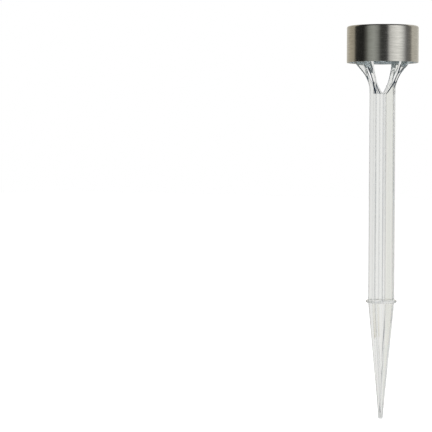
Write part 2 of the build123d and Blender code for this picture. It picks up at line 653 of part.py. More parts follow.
def switch_pins():
    """Pins from the switch up through the board."""
    return Compound([block(SWITCH_PIN, SWITCH_PIN, PLATE_TOP + SWITCH_HEIGHT, PIN_HIGH, x, SWITCH_Y)
                     for x in switch_pin_places()])


# Battery

def along_x(radius, start, end):
    """Round bar along X at the battery's height."""
    bar = Rot(0, 90, 0) * Cylinder(radius, end - start)
    return Pos((start + end) / 2, BATTERY_Y, BATTERY_LEVEL) * bar


def battery_cell():
    """Steel can with its positive nub."""
    end = BATTERY_MINUS_X + BATTERY_LENGTH
    can = along_x(BATTERY_RADIUS, BATTERY_MINUS_X, end)
    can = fillet(can.edges().filter_by(GeomType.CIRCLE), BATTERY_SHOULDER)
    return can + along_x(BATTERY_NUB_RADIUS, end - OVERRUN, end + BATTERY_NUB_HEIGHT)


def battery_sleeve():
    """Shrink sleeve round the can."""
    start = BATTERY_MINUS_X + SLEEVE_LIP
    end = BATTERY_MINUS_X + BATTERY_LENGTH - SLEEVE_LIP
    outer = along_x(BATTERY_RADIUS + SLEEVE_WALL, start, end)
    return outer - along_x(BATTERY_RADIUS, start - OVERRUN, end + OVERRUN)


def battery_spring():
    """Coil between the negative contact and the can."""
    start = CRADLE_MINUS_X + SPRING_WIRE
    height = SPRING_ROOM - 2 * SPRING_WIRE
    path = Helix(SPRING_PITCH, height, SPRING_RADIUS, center=(start, BATTERY_Y, BATTERY_LEVEL),
                 direction=(1, 0, 0))
    return sweep(Plane(origin=path @ 0, z_dir=path % 0) * Circle(SPRING_WIRE), path, is_frenet=True)


# Held leads

def bend_radii(points):
    """Largest arc at each corner: a share of the shorter run beside it."""
    radii = []
    for before, corner, after in zip(points, points[1:], points[2:]):
        arriving = Vector(*corner) - Vector(*before)
        leaving = Vector(*after) - Vector(*corner)
        half_turn = math.radians(arriving.get_angle(leaving)) / 2
        radii.append(LEAD_SHARE * min(arriving.length, leaving.length) / math.tan(half_turn))
    return radii


def battery_lead(side):
    """Lead from a contact's tab to the board, beside the battery."""
    pad_x = side * BATTERY_LEAD_PAD_X
    pad_y = BOARD_BACK - BATTERY_LEAD_PAD_SETBACK
    points = [(side * CRADLE_PLUS_X, CONTACT_TAB_Y, CONTACT_TAB_LEVEL),
              (side * (CRADLE_PLUS_X - LEAD_STRAIGHT), CONTACT_TAB_Y, CONTACT_TAB_LEVEL),
              (pad_x, pad_y, BOARD_TOP + LEAD_STRAIGHT),
              (pad_x, pad_y, BOARD_TOP)]
    return bent_wire(points, bend_radii(points), LEAD_RADIUS)


def panel_lead(side):
    """Lead from the panel's pad down through the deck's hole to the board."""
    pad = side * PANEL_PAD_SPACING / 2
    points = [(pad, PANEL_PAD_OFFSET, PANEL_BOARD_BOTTOM),
              (pad, PANEL_PAD_OFFSET, PANEL_BOARD_BOTTOM - LEAD_STRAIGHT),
              (side * PANEL_LEAD_PAD_X, PANEL_LEAD_PAD_Y, BOARD_TOP + LEAD_STRAIGHT),
              (side * PANEL_LEAD_PAD_X, PANEL_LEAD_PAD_Y, BOARD_TOP)]
    return bent_wire(points, bend_radii(points), LEAD_RADIUS)


def head_pieces():
    """Every node of the head, in the head's own levels."""
    return {
        "steel_cap": steel_cap(),
        "upper_housing": upper_housing(),
        "base_housing": base_housing(),
        "housing_seal": housing_seal(),
        "cover_screws": cover_screws(),
        "panel_tape": panel_tape(),
        "solar_board": solar_board(),
        "solar_cells": Compound(cell_strips()),
        "panel_dome": panel_dome(),
        "panel_lead_positive": panel_lead(1),
        "panel_lead_negative": panel_lead(-1),
        "circuit_board": circuit_board(),
        "board_screws": board_screws(),
        "driver_chip": driver_chip(),
        "chip_pins": chip_pins(),
        "inductor": inductor(),
        "inductor_leads": inductor_leads(),
        "led_lamp": led_lamp(),
        "led_leads": Compound(led_leads()),
        "switch_body": switch_body(),
        "switch_pins": switch_pins(),
        "switch_knob": switch_knob(),
        "battery_cell": battery_cell(),
        "battery_sleeve": battery_sleeve(),
        "battery_contact_plus": contact_plate(1),
        "battery_contact_minus": contact_plate(-1),
        "battery_spring": battery_spring(),
        "battery_lead_positive": battery_lead(1),
        "battery_lead_negative": battery_lead(-1),
    }


def main():
    os.makedirs("parts", exist_ok=True)
    export_step(stake(), "parts/stake.step")
    for name, piece in head_pieces().items():
        export_step(Pos(0, 0, HEAD_LEVEL) * Rot(0, 0, HEAD_TURN) * piece, f"parts/{name}.step")


main()
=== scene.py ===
import bpy
import math
from mathutils import Matrix, Vector


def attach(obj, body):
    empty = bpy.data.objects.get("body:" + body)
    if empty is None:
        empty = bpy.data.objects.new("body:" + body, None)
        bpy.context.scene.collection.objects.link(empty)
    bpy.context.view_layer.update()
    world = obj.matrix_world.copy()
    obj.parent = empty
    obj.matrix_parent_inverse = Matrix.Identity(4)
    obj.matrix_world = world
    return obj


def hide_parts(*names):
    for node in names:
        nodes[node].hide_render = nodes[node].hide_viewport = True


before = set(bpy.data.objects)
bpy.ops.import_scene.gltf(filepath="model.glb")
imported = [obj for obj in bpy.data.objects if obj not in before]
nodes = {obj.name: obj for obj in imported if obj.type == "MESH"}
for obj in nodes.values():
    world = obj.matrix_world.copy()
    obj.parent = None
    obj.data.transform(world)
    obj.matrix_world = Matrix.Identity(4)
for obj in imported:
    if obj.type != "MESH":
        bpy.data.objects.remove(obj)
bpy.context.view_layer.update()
mm = 0.001
tiny = 0.001 * mm   # points closer than this are in the same place
sharpAngle = 40.0   # degrees between two faces that make a hard edge
flatAngle = 0.4   # degrees between two faces that count as one
sortingPoint = (0.31, 0.17, -0.23)   # off every plane of symmetry, so that no two parts are equally far from it
finished = []   # every new piece, for the tally at the end
print("frame loaded:", len(nodes), "nodes")


# Working with meshes

def selectNothing():
    bpy.ops.object.select_all(action="DESELECT")


def pick(piece):   # selects the piece alone and makes it the active one
    selectNothing()
    piece.select_set(True)
    bpy.context.view_layer.objects.active = piece


def enterEdit():
    bpy.ops.object.mode_set(mode="EDIT")


def leaveEdit():
    bpy.ops.object.mode_set(mode="OBJECT")


def selectParts(piece, kind, test):   # kind is "VERT", "EDGE" or "FACE", test gets the part's points
    bpy.ops.mesh.select_mode(type=kind)
    bpy.ops.mesh.select_all(action="DESELECT")
    leaveEdit()
    points = piece.data.vertices
    if kind == "VERT":
        for point in points:
            point.select = test([point.co])
    else:
        for part in piece.data.edges if kind == "EDGE" else piece.data.polygons:
            part.select = test([points[index].co for index in part.vertices])
    enterEdit()


def settleOrder():   # in edit mode, numbers the parts by their place, because extruding gives them no fixed order
    bpy.ops.mesh.select_all(action="SELECT")
    bpy.context.scene.cursor.location = sortingPoint
    bpy.ops.mesh.sort_elements(type="CURSOR_DISTANCE", elements={"VERT", "EDGE", "FACE"})


def applyModifier(piece, kind, settings):
    modifier = piece.modifiers.new(kind.title(), kind)
    for name, value in settings.items():
        setattr(modifier, name, value)
    pick(piece)
    bpy.ops.object.modifier_apply(modifier=modifier.name)


def combine(piece, other, operation):
    applyModifier(piece, "BOOLEAN", {"object": other, "operation": operation, "solver": "EXACT"})
    bpy.data.objects.remove(other)


def smoothPiece(piece, degrees=32):
    pick(piece)
    bpy.ops.object.shade_smooth_by_angle(angle=math.radians(degrees))
    applyModifier(piece, "WEIGHTED_NORMAL", {"mode": "FACE_AREA", "weight": 100, "keep_sharp": True})   # keeps flats


def arcPoints(centreRadius, centreLevel, bend, startDegrees, endDegrees, steps):
    angles = [math.radians(startDegrees + (endDegrees - startDegrees) * k / steps) for k in range(steps + 1)]
    return [(centreRadius + bend * math.cos(angle), centreLevel + bend * math.sin(angle)) for angle in angles]


def bowPoints(start, end, bend, steps):   # arc between two points, bulging away from the axis and down
    chord = Vector(end) - Vector(start)
    across = Vector((chord.y, -chord.x)).normalized()
    centre = (Vector(start) + Vector(end)) / 2 - across * math.sqrt(bend ** 2 - (chord.length / 2) ** 2)
    first = math.atan2(start[1] - centre.y, start[0] - centre.x)
    last = math.atan2(end[1] - centre.y, end[0] - centre.x)
    return [(centre.x + bend * math.cos(first + (last - first) * k / steps),
             centre.y + bend * math.sin(first + (last - first) * k / steps)) for k in range(steps + 1)]


def turnPiece(name, outline, ends, segments):   # ends is "closed", "capped", or "pointed" at the last point
    outline = [(radius * mm, level * mm) for radius, level in outline]
    radius, level = outline[0]
    selectNothing()
    bpy.ops.mesh.primitive_circle_add(vertices=segments, radius=radius, location=(0, 0, level),
                                      fill_type="NOTHING" if ends == "closed" else "NGON")
    piece = bpy.context.active_object
    piece.name = name
    bpy.ops.object.transform_apply(location=True)
    enterEdit()
    bpy.ops.mesh.select_mode(type="EDGE")
    bpy.ops.mesh.select_all(action="SELECT")
    for nextRadius, nextLevel in outline[1:]:
        bpy.ops.mesh.extrude_edges_move(TRANSFORM_OT_translate={"value": (0, 0, nextLevel - level)})
        if nextRadius > 0:
            scale = nextRadius / radius
            bpy.ops.transform.resize(value=(scale, scale, 1), center_override=(0, 0, nextLevel))
        radius, level = nextRadius, nextLevel
    if ends == "pointed":
        bpy.ops.mesh.merge(type="CENTER")
    if ends == "capped":
        bpy.ops.mesh.edge_face_add()
    bpy.ops.mesh.select_all(action="SELECT")
    bpy.ops.mesh.remove_doubles(threshold=tiny)
    bpy.ops.mesh.normals_make_consistent(inside=False)
    settleOrder()
    leaveEdit()
    return piece


def softenedCopy(nodeName, name, rounding, steps=2):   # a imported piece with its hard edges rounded
    piece = bpy.data.objects.new(name, nodes[nodeName].data.copy())
    bpy.context.scene.collection.objects.link(piece)
    pick(piece)
    enterEdit()
    bpy.ops.mesh.select_all(action="SELECT")
    bpy.ops.mesh.customdata_custom_splitnormals_clear()
    bpy.ops.mesh.remove_doubles(threshold=2 * tiny)
    bpy.ops.mesh.dissolve_limited(angle_limit=math.radians(flatAngle))
    leaveEdit()
    applyModifier(piece, "BEVEL", {"width": rounding * mm, "segments": steps, "limit_method": "ANGLE",
                                   "angle_limit": math.radians(sharpAngle), "use_clamp_overlap": True})
    smoothPiece(piece)
    return piece


def finishPiece(piece, body, slot, *replaced):
    piece.data.materials.clear()
    piece.data.materials.append(nodeFinishes[slot])
    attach(piece, body)
    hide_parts(*replaced)
    finished.append(piece)
    print("piece done:", piece.name, len(piece.data.polygons), "faces")


# Shader maths

class Signal:
    def __init__(self, tree, socket):
        self.tree = tree
        self.socket = socket

    def node(self, kind, settings=None, sockets=None, output=0):
        made = self.tree.nodes.new(kind)
        for name, value in (settings or {}).items():
            if name == "stops":
                self.fillRamp(made.color_ramp, value)
            else:
                setattr(made, name, value)
        for name, value in (sockets or {}).items():
            if isinstance(value, Signal):
                self.tree.links.new(value.socket, made.inputs[name])
            else:
                made.inputs[name].default_value = value
        return Signal(self.tree, made.outputs[output])

    def fillRamp(self, ramp, stops):
        while len(ramp.elements) < len(stops):
            ramp.elements.new(1.0)
        for element, (place, colour) in zip(ramp.elements, stops):
            element.position = place
            element.color = colour

    def part(self, name):   # another output of the same node
        return Signal(self.tree, self.socket.node.outputs[name])

    def math(self, operation, first, second=0.0):
        return self.node("ShaderNodeMath", {"operation": operation}, {0: first, 1: second})

    def __add__(self, other):
        return self.math("ADD", self, other)

    def __radd__(self, other):
        return self.math("ADD", other, self)

    def __sub__(self, other):
        return self.math("SUBTRACT", self, other)

    def __rsub__(self, other):
        return self.math("SUBTRACT", other, self)

    def __mul__(self, other):
        return self.math("MULTIPLY", self, other)

    def __rmul__(self, other):
        return self.math("MULTIPLY", other, self)

    def __truediv__(self, other):
        return self.math("DIVIDE", self, other)

    def fraction(self):
        return self.math("FRACT", self)

    def absolute(self):
        return self.math("ABSOLUTE", self)

    def above(self, level):
        return self.math("GREATER_THAN", self, level)

    def below(self, level):
        return self.math("LESS_THAN", self, level)

    def between(self, low, high):   # 0 at low, 1 at high, clamped
        return self.node("ShaderNodeMapRange", {}, {"Value": self, "From Min": low, "From Max": high})

    def spread(self, low, high):   # low where the signal is 0, high where it is 1
        return low + (high - low) * self

    def stripes(self, pitch, width):   # 1 on the lines, 0 between them
        return ((self / pitch).fraction() - 0.5).absolute().below(width / pitch / 2)

    def mix(self, low, high):   # this signal blends two colours
        return self.node("ShaderNodeMix", {"data_type": "RGBA"}, {0: self, 6: low, 7: high}, output=2)

    def noise(self, scale, detail=2.0, roughness=0.5):
        return self.node("ShaderNodeTexNoise", {}, {"Vector": self, "Scale": scale, "Detail": detail,
                                                    "Roughness": roughness})

    def bump(self, strength, distance):
        return self.node("ShaderNodeBump", {}, {"Strength": strength, "Distance": distance, "Height": self})

    def joined(self, x, y, z):
        return self.node("ShaderNodeCombineXYZ", {}, {0: x, 1: y, 2: z})

    def axes(self):
        return self.node("ShaderNodeSeparateXYZ", {}, {0: self})

    def turnedBy(self, degrees):   # a pattern's places, turned round the light's axis
        return self.node("ShaderNodeMapping", {}, {"Vector": self, "Rotation": (0, 0, -math.radians(degrees))})


def newMaterial(name):
    material = bpy.data.materials.new(name)
    material.use_nodes = True
    tree = material.node_tree
    places = Signal(tree, tree.nodes.new("ShaderNodeTexCoord").outputs["Object"])
    return material, places


def setSurface(material, sockets):
    shader = material.node_tree.nodes["Principled BSDF"]
    for name, value in sockets.items():
        if isinstance(value, Signal):
            material.node_tree.links.new(value.socket, shader.inputs[name])
        else:
            shader.inputs[name].default_value = value
    return material


def blendSurface(material, share, other):   # the share at which another shader takes over from the material's own
    tree = material.node_tree
    own = Signal(tree, tree.nodes["Principled BSDF"].outputs[0])
    both = share.node("ShaderNodeMixShader", {}, {0: share, 1: own, 2: other})
    tree.links.new(both.socket, tree.nodes["Material Output"].inputs["Surface"])


# Finishes. Sizes are in millimetres, and the scales of noise are per metre.

brushedSteelLook = {"darker": (0.47, 0.467, 0.455, 1), "lighter": (0.74, 0.736, 0.72, 1), "capRadius": 27.5,
                    "linePitch": 0.42, "lineLength": 9.0, "patchScale": 90.0, "patchShare": 0.2,
                    "contrast": (0.3, 0.7), "roughness": (0.17, 0.27), "anisotropy": 0.75, "anisotropyTurn": 0.25,
                    "bump": 0.35, "depth": 0.004}


def brushedSteel(look=brushedSteelLook):   # fine lines that run round the axis
    material, places = newMaterial("brushedSteel")
    axes = places.axes()
    x, y, z = axes.part("X"), axes.part("Y"), axes.part("Z")
    radius = places.math("SQRT", x * x + y * y)
    turns = look["capRadius"] / look["lineLength"]
    lines = places.joined(x / radius * turns, y / radius * turns, (z + radius) / (look["linePitch"] * mm))
    fine = lines.noise(1.0, detail=3.0, roughness=0.65)
    patches = places.noise(look["patchScale"], detail=3.0)
    streaks = (fine * (1 - look["patchShare"]) + patches * look["patchShare"]).between(*look["contrast"])
    return setSurface(material, {
        "Base Color": streaks.mix(look["darker"], look["lighter"]),
        "Metallic": 1.0, "Roughness": streaks.spread(*look["roughness"]),
        "Anisotropic": look["anisotropy"], "Anisotropic Rotation": look["anisotropyTurn"],
        "Normal": fine.bump(look["bump"], look["depth"] * mm)})


clearPlasticLook = {"colour": (0.965, 0.97, 0.945, 1), "roughness": (0.015, 0.06), "ior": 1.53, "flowSize": 9.0,
                    "flowStretch": 0.18, "flowDepth": 0.03, "bump": 0.5, "speckScale": 1400.0,
                    "speckRange": (0.45, 0.8), "edgeShadeColour": (0.025, 0.06, 0.115, 1), "edgeRoughness": 0.35}


def clearPlastic(look=clearPlasticLook):   # moulded and clear, with faint flow lines along it and darker edges, which are painted shade
    material, places = newMaterial("clearPlastic")
    stretched = places.node("ShaderNodeMapping", {}, {"Vector": places, "Scale": (1, 1, look["flowStretch"])})
    flow = stretched.noise(1 / (look["flowSize"] * mm), detail=2.0)
    specks = places.noise(look["speckScale"], detail=2.0).between(*look["speckRange"])
    setSurface(material, {
        "Base Color": look["colour"], "Roughness": specks.spread(*look["roughness"]),
        "IOR": look["ior"], "Transmission Weight": 1.0,
        "Normal": flow.bump(look["bump"], look["flowDepth"] * mm)})
    # painted shade: faces marked in edgeShade blend into a dark blue-grey surface, standing in for the dark lines
    # that refraction draws along clear edges
    edges = places.node("ShaderNodeAttribute", {"attribute_name": "edgeShade"}, {}).part("Fac")
    dark = places.node("ShaderNodeBsdfPrincipled", {}, {"Base Color": look["edgeShadeColour"],
                                                        "Roughness": look["edgeRoughness"]})
    blendSurface(material, edges, dark)
    return material


blackPlasticLook = {"colour": (0.0105, 0.0115, 0.0145, 1), "worn": (0.022, 0.023, 0.027, 1),
                    "wornRange": (0.35, 0.75), "roughness": (0.34, 0.52), "roughRange": (0.3, 0.7),
                    "cloudScale": 120.0, "grainSize": 0.35, "grainDepth": 0.012, "bump": 0.4}


def blackPlastic(look=blackPlasticLook):
    material, places = newMaterial("blackPlastic")
    grain = places.noise(1 / (look["grainSize"] * mm), detail=3.0, roughness=0.6)
    cloud = places.noise(look["cloudScale"], detail=4.0)
    return setSurface(material, {
        "Base Color": cloud.between(*look["wornRange"]).mix(look["colour"], look["worn"]),
        "Roughness": cloud.between(*look["roughRange"]).spread(*look["roughness"]),
        "Normal": grain.bump(look["bump"], look["grainDepth"] * mm)})


clearResinLook = {"colour": (0.93, 0.955, 0.98, 1), "roughness": (0.01, 0.05), "ior": 1.5, "waveSize": 11.0,
                  "waveDepth": 0.05, "bump": 0.5, "hazeScale": 220.0, "hazeRange": (0.45, 0.75)}


def clearResin(look=clearResinLook):   # poured, so its surface waves a little
    material, places = newMaterial("clearResin")
    waves = places.noise(1 / (look["waveSize"] * mm), detail=1.0)
    haze = places.noise(look["hazeScale"], detail=4.0).between(*look["hazeRange"])
    return setSurface(material, {
        "Base Color": look["colour"], "Roughness": haze.spread(*look["roughness"]),
        "IOR": look["ior"], "Transmission Weight": 1.0,
        "Normal": waves.bump(look["bump"], look["waveDepth"] * mm)})


headTurn = 45.0   # degrees from the stake's arms to the panel, the board and the inductor
siliconLook = {"blue": (0.008, 0.035, 0.12, 1), "paleBlue": (0.016, 0.065, 0.19, 1), "silver": (0.18, 0.24, 0.33, 1),
               "rowPitch": 6.1, "fingerPitch": 0.94, "fingerWidth": 0.13, "fingerMetal": 0.7, "fingerDepth": 0.02,
               "grainScale": 700.0, "blueRange": (0.35, 0.7), "roughness": (0.32, 0.48), "gloss": 0.08, "bump": 0.3}


def siliconCell(look=siliconLook):   # deep blue, with thin silver fingers along each strip
    material, places = newMaterial("siliconCell")
    across = places.turnedBy(headTurn).axes().part("Y")
    inStrip = (across / (look["rowPitch"] * mm)).fraction() - 0.5
    fingers = (inStrip * look["rowPitch"]).stripes(look["fingerPitch"], look["fingerWidth"])
    grains = places.noise(look["grainScale"], detail=3.0)
    blue = grains.between(*look["blueRange"]).mix(look["blue"], look["paleBlue"])
    return setSurface(material, {
        "Base Color": fingers.mix(blue, look["silver"]), "Metallic": fingers * look["fingerMetal"],
        "Roughness": grains.spread(*look["roughness"]), "Specular IOR Level": look["gloss"],
        "Normal": fingers.bump(look["bump"], look["fingerDepth"] * mm)})


laminateLook = {"green": (0.012, 0.085, 0.035, 1), "track": (0.03, 0.16, 0.06, 1), "trackPitch": 2.54,
                "trackWidth": 0.9, "bendScale": 45.0, "bendStep": 1.524, "weaveScale": 1800.0, "weaveShare": 0.2,
                "trackShare": 0.5, "roughness": (0.25, 0.45), "lacquer": 0.4, "bump": 0.3, "depth": 0.03}


def circuitLaminate(look=laminateLook):   # lacquered board with copper tracks under the lacquer
    material, places = newMaterial("circuitLaminate")
    turned = places.turnedBy(headTurn)
    bent = turned.noise(look["bendScale"], detail=0.0).above(0.5)
    lane = turned.axes().part("X") / mm + look["bendStep"] * bent
    tracks = lane.stripes(look["trackPitch"], look["trackWidth"])
    weave = places.noise(look["weaveScale"], detail=2.0)
    relief = tracks * look["trackShare"] + weave * look["weaveShare"]
    return setSurface(material, {
        "Base Color": tracks.mix(look["green"], look["track"]), "Roughness": weave.spread(*look["roughness"]),
        "Coat Weight": look["lacquer"], "Normal": relief.bump(look["bump"], look["depth"] * mm)})


lampEpoxyLook = {"colour": (0.94, 0.96, 1.0, 1), "roughness": (0.02, 0.08), "ior": 1.52, "hazeScale": 900.0,
                 "bump": 0.1, "depth": 0.01}


def lampEpoxy(look=lampEpoxyLook):   # cast clear, with a trace of haze
    material, places = newMaterial("lampEpoxy")
    haze = places.noise(look["hazeScale"], detail=2.0)
    return setSurface(material, {
        "Base Color": look["colour"], "Roughness": haze.spread(*look["roughness"]), "IOR": look["ior"],
        "Transmission Weight": 1.0, "Normal": haze.bump(look["bump"], look["depth"] * mm)})


bandedCoatLook = {"coat": (0.10, 0.30, 0.20, 1), "ring": (0.20, 0.07, 0.02, 1), "ringPitch": 1.3,
                  "ringWidth": 0.442, "grainScale": 1500.0, "roughness": (0.25, 0.45), "lacquer": 0.6,
                  "bump": 0.3, "depth": 0.02}


def bandedCoat(look=bandedCoatLook):   # lacquer with thin rings of darker paint round it
    material, places = newMaterial("bandedCoat")
    along = places.turnedBy(headTurn).axes().part("X")
    rings = (along / mm).stripes(look["ringPitch"], look["ringWidth"])
    grain = places.noise(look["grainScale"], detail=2.0)
    return setSurface(material, {
        "Base Color": rings.mix(look["coat"], look["ring"]), "Roughness": grain.spread(*look["roughness"]),
        "Coat Weight": look["lacquer"], "Normal": grain.bump(look["bump"], look["depth"] * mm)})


speckledLook = {"cloudShare": 0.12, "contrast": (0.35, 0.65), "roughRange": (0.3, 0.7), "coatRoughness": 0.12,
                "bump": 0.4}


# A grained and slightly clouded finish, for the moulded, painted and plated parts
def speckled(name, dark, light, roughness, grainSize, grainDepth, metallic=0.0, coat=0.0, gloss=0.5):
    look = speckledLook
    material, places = newMaterial(name)
    grain = places.noise(1 / (grainSize * mm), detail=3.0, roughness=0.6)
    cloud = places.noise(look["cloudShare"] / (grainSize * mm), detail=4.0)
    return setSurface(material, {
        "Base Color": (grain * 0.5 + cloud * 0.5).between(*look["contrast"]).mix(dark, light),
        "Roughness": cloud.between(*look["roughRange"]).spread(*roughness), "Metallic": metallic,
        "Coat Weight": coat, "Coat Roughness": look["coatRoughness"], "Specular IOR Level": gloss,
        "Normal": grain.bump(look["bump"], grainDepth * mm)})


speckledFinishes = {   # the material, its darker and lighter colour, its roughness, and its grain's size and depth
    "grey_plastic": ("greyPlastic", (0.53, 0.61, 0.65, 1), (0.595, 0.67, 0.7, 1), (0.34, 0.5), 0.35, 0.012),
    "panel_board": ("panelLacquer", (0.005, 0.005, 0.006, 1), (0.009, 0.009, 0.011, 1), (0.25, 0.4), 0.5, 0.01),
    "seal_rubber": ("sealRubber", (0.02, 0.02, 0.02, 1), (0.045, 0.044, 0.042, 1), (0.6, 0.8), 0.3, 0.02),
    "foam_tape": ("foamTape", (0.015, 0.015, 0.016, 1), (0.05, 0.05, 0.052, 1), (0.85, 0.95), 0.25, 0.08),
    "screw_steel": ("zincScrew", (0.42, 0.42, 0.40, 1), (0.62, 0.61, 0.57, 1), (0.28, 0.45), 0.2, 0.01),
    "chip_mould": ("chipMould", (0.012, 0.012, 0.013, 1), (0.03, 0.03, 0.03, 1), (0.5, 0.65), 0.12, 0.015),
    "tinned_metal": ("tinnedMetal", (0.60, 0.59, 0.56, 1), (0.78, 0.77, 0.74, 1), (0.2, 0.38), 0.3, 0.01),
    "switch_metal": ("switchShell", (0.48, 0.47, 0.45, 1), (0.66, 0.65, 0.62, 1), (0.25, 0.42), 0.25, 0.01),
    "battery_steel": ("batteryCan", (0.58, 0.57, 0.54, 1), (0.74, 0.73, 0.70, 1), (0.18, 0.32), 0.4, 0.006),
    "battery_film": ("batteryFilm", (0.05, 0.17, 0.11, 1), (0.07, 0.22, 0.14, 1), (0.22, 0.36), 1.6, 0.03),
    "contact_steel": ("nickelContact", (0.55, 0.53, 0.49, 1), (0.74, 0.72, 0.67, 1), (0.22, 0.36), 0.25, 0.008),
    "red_insulation": ("redLead", (0.38, 0.018, 0.014, 1), (0.48, 0.03, 0.022, 1), (0.35, 0.5), 0.5, 0.012),
    "black_insulation": ("blackLead", (0.012, 0.012, 0.012, 1), (0.028, 0.028, 0.028, 1), (0.35, 0.5), 0.5, 0.012)}
speckledExtras = {"panel_board": {"gloss": 0.08}, "battery_film": {"coat": 0.3}}
for metal in ("screw_steel", "tinned_metal", "switch_metal", "battery_steel", "contact_steel"):
    speckledExtras[metal] = {"metallic": 1.0}

nodeFinishes = {
    "steel": brushedSteel(), "clear_plastic": clearPlastic(), "black_plastic": blackPlastic(),
    "clear_resin": clearResin(), "lamp_epoxy": lampEpoxy(), "cell_silicon": siliconCell(),
    "circuit_laminate": circuitLaminate(), "inductor_coat": bandedCoat()}
for slot, values in speckledFinishes.items():
    nodeFinishes[slot] = speckled(*values, **speckledExtras.get(slot, {}))
for node in nodes.values():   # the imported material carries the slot's name
    node.data.materials[0] = nodeFinishes[node.data.materials[0].name]
print("finishes made:", len(nodeFinishes))


# Clear stake

surfaceMark, hollowMark, armMark, flangeMark = range(4)   # what a face is part of, and so how much painted shade it gets, until the stake is whole
stakeSizes = {"spikeLength": 90.5, "tipReach": 1.35, "tipRound": 0.9, "tipRoot": 2.4, "tipEdge": 1.6,
              "groundReach": 11.3, "topReach": 11.05, "root": 4.6, "edge": 2.5,
              "flareRoot": 5.2, "flareEdge": 4.2, "flareBend": 22.0, "flareSlope": 45.0, "flareSteps": 14,
              "collarReach": 25.6, "collarWall": 2.5, "collarLow": 186.7, "collarHigh": 191.5, "collarRound": 0.3,
              "armInset": 0.3125, "armMargin": 0.2, "headLevel": 185.0, "hollowDepth": 24.0, "hollowFloor": 3.0,
              "hollowMouth": 16.5, "hollowBend": 55.0, "hollowSteps": 16, "throatStep": 1.7, "throatOver": 2.0,
              "flangeRadius": 11.9, "flangeHeight": 2.0, "flangeRound": 0.7, "flangeSteps": 5, "segments": 96,
              "collarSegments": 128, "edgeRound": 0.35, "rootRound": 0.7, "hollowRound": 0.62, "shadeLow": -76.0,
              "shades": (0.0, 1.0, 0.18, 0.09)}   # how much painted shade darkens each mark's faces
tipShape = (   # how far up the tip's rounding and how far in, with the shares of the root and edge there
    (0.0, 0.55, 0.55, 0.6), (0.3, 0.2, 0.85, 0.85), (1.0, 0.0, 1.0, 1.0))


def flareStations(sizes):   # levels of the stake with the reach, root and edge of its arms there
    turn = math.radians(sizes["flareSlope"])
    arcReach = sizes["topReach"] + sizes["flareBend"] * (1 - math.cos(turn))
    arcTop = sizes["collarLow"] - (sizes["collarReach"] - arcReach) / math.tan(turn)
    flareLow = arcTop - sizes["flareBend"] * math.sin(turn)
    stations = [(-sizes["spikeLength"] + sizes["tipRound"] * up, sizes["tipReach"] - sizes["tipRound"] * inward,
                 sizes["tipRoot"] * rootShare, sizes["tipEdge"] * edgeShare)
                for up, inward, rootShare, edgeShare in tipShape]
    stations.append((0, sizes["groundReach"], sizes["root"], sizes["edge"]))
    for k in range(sizes["flareSteps"] + 1):
        angle = turn * k / sizes["flareSteps"]
        level = flareLow + sizes["flareBend"] * math.sin(angle)
        stations.append((level, sizes["topReach"] + sizes["flareBend"] * (1 - math.cos(angle)),
                         *flareWidths(sizes, (level - flareLow) / (sizes["collarLow"] - flareLow))))
    inCollar = sizes["collarReach"] - sizes["armInset"]   # the arms end inside the collar's wall
    for level in (sizes["collarLow"] + sizes["armMargin"], sizes["collarHigh"] - sizes["armMargin"]):
        stations.append((level, inCollar, sizes["flareRoot"], sizes["flareEdge"]))
    return stations


def flareWidths(sizes, share):
    return (sizes["root"] + (sizes["flareRoot"] - sizes["root"]) * share,
            sizes["edge"] + (sizes["flareEdge"] - sizes["edge"]) * share)


def crossStart(station):   # the square root and the four arms, flat at the tip
    level, reach, root, edge = [value * mm for value in station]
    selectNothing()
    bpy.ops.mesh.primitive_plane_add(size=root, location=(0, 0, level))
    piece = bpy.context.active_object
    bpy.ops.object.transform_apply(location=True)
    enterEdit()
    for x, y in ((1, 0), (0, 1), (-1, 0), (0, -1)):
        side = Vector((x, y, 0))
        selectParts(piece, "EDGE", lambda points: all(abs(point.dot(side) - root / 2) < tiny for point in points))
        outward = side * (reach - root / 2)
        bpy.ops.mesh.extrude_edges_move(TRANSFORM_OT_translate={"value": outward})
        narrow = (1, edge / root, 1) if x else (edge / root, 1, 1)
        bpy.ops.transform.resize(value=narrow, center_override=side * reach + Vector((0, 0, level)))
    return piece


def liftStage(piece, before, after):   # draws the top of the cross up to the next station
    level = after[0] * mm
    selectParts(piece, "FACE", lambda points: all(abs(point.z - before[0] * mm) < tiny for point in points))
    bpy.ops.mesh.extrude_region_move(TRANSFORM_OT_translate={"value": (0, 0, level - before[0] * mm)})
    reachScale, rootScale, edgeScale = [after[k] / before[k] for k in (1, 2, 3)]
    groups = ((lambda gap: gap > tiny, (reachScale, edgeScale, 1)),
              (lambda gap: gap < -tiny, (edgeScale, reachScale, 1)),
              (lambda gap: abs(gap) <= tiny, (rootScale, rootScale, 1)))
    for belongs, scale in groups:
        selectParts(piece, "VERT", lambda points: abs(points[0].z - level) < tiny
                    and belongs(abs(points[0].x) - abs(points[0].y)))
        bpy.ops.transform.resize(value=scale, center_override=(0, 0, level))


def roundArms(piece, sizes):   # outer edges first, then the inner corners where the arms meet
    def upright(points):
        return abs(points[0].z - points[1].z) > 10 * tiny

    def offCorner(point):
        return abs(abs(point.x) - abs(point.y)) > 10 * tiny

    settleOrder()
    selectParts(piece, "EDGE", lambda points: upright(points) and offCorner(points[0]) and offCorner(points[1]))
    # the rounded faces here and at the inner corners carry the arm mark, a light painted shade along the edges
    bpy.ops.mesh.bevel(offset=sizes["edgeRound"] * mm, segments=3, affect="EDGES", material=armMark)
    settleOrder()
    selectParts(piece, "EDGE", lambda points: upright(points) and not offCorner(points[0])
                and not offCorner(points[1]) and min(points[0].z, points[1].z) > -tiny)
    bpy.ops.mesh.bevel(offset=sizes["rootRound"] * mm, segments=3, affect="EDGES", material=armMark)


def hollowReach(profile, level):   # the hollow's radius at a level, 0 under and over it
    for (lowReach, low), (highReach, high) in zip(profile, profile[1:]):
        if low <= level <= high:
            return lowReach + (highReach - lowReach) * (level - low) / (high - low)
    return 0


